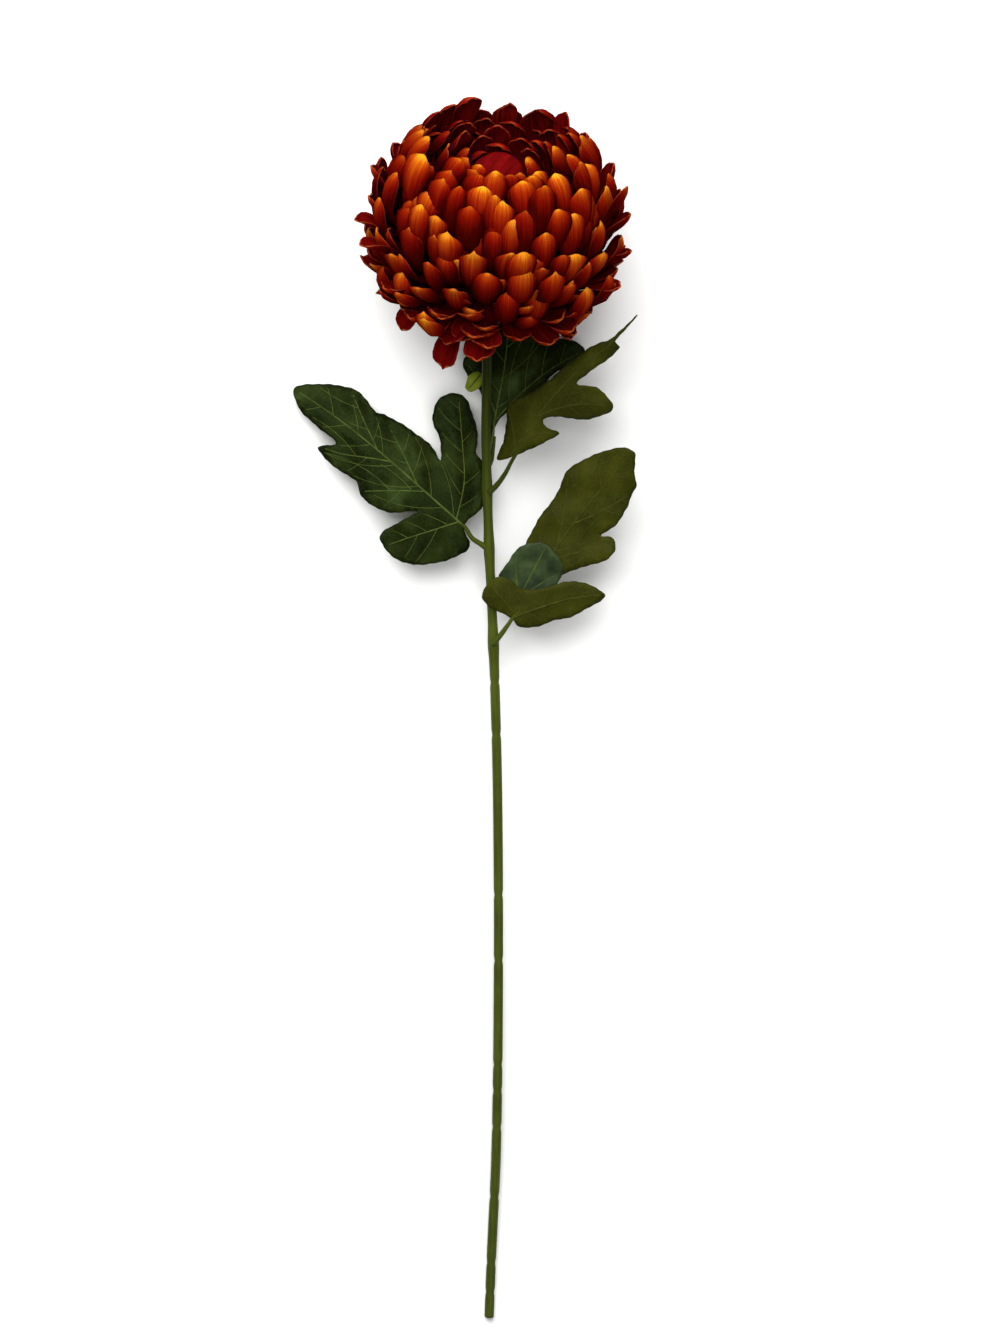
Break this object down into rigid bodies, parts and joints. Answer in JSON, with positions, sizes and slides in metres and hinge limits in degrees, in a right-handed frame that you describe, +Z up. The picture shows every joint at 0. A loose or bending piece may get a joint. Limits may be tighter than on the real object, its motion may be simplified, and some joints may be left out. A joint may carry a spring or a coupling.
{
  "type": "chrysanthemum",
  "caption": "Cut chrysanthemum with a large globe of incurved orange petals on a long leafy stem, lying on its side.",
  "frame": {"origin": "middle of the flower's outline on the surface it lies on", "axes": "+Z up from that surface, +Y along the stem towards the head, +X to the flower's right seen from above with the head at the top"},
  "size_m": [0.1972, 0.7006, 0.1439],
  "materials": {
    "petal": "satin",
    "calyx_green": "matte",
    "stem_green": "satin",
    "leaf_green": "satin",
    "leaf_underside": "matte"
  },
  "bodies": {
    "root": {"bloom": "petal", "calyx": "calyx_green", "stem": "stem_green", "leaf_left": "leaf_green", "leaf_under_bloom": "leaf_green", "leaf_upper_right": "leaf_underside", "leaf_lower_right": "leaf_underside"}
  },
  "joints": []
}
